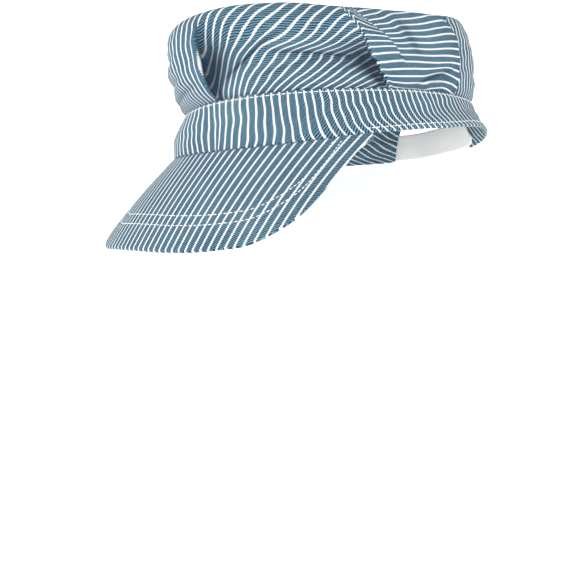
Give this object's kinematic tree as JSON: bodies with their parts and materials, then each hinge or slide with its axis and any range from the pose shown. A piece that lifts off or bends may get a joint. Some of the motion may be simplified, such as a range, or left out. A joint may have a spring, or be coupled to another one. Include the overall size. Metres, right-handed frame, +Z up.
{
  "type": "railroad engineer cap",
  "caption": "Soft pleated work cap in striped denim with an upright band, a curved visor and an adjuster tape at the back.",
  "frame": {"origin": "on the surface that the cap rests on, under the middle of its box", "axes": "+Z up, -Y towards the visor, +X towards the wearer's left"},
  "size_m": [0.175, 0.2874, 0.1291],
  "materials": {
    "striped_denim": "blue twill with narrow white stripes",
    "pale_tape": "pale grey woven tape"
  },
  "bodies": {
    "root": {"crown": "striped_denim", "band": "striped_denim", "visor": "striped_denim", "back_strap": "pale_tape"}
  },
  "joints": []
}
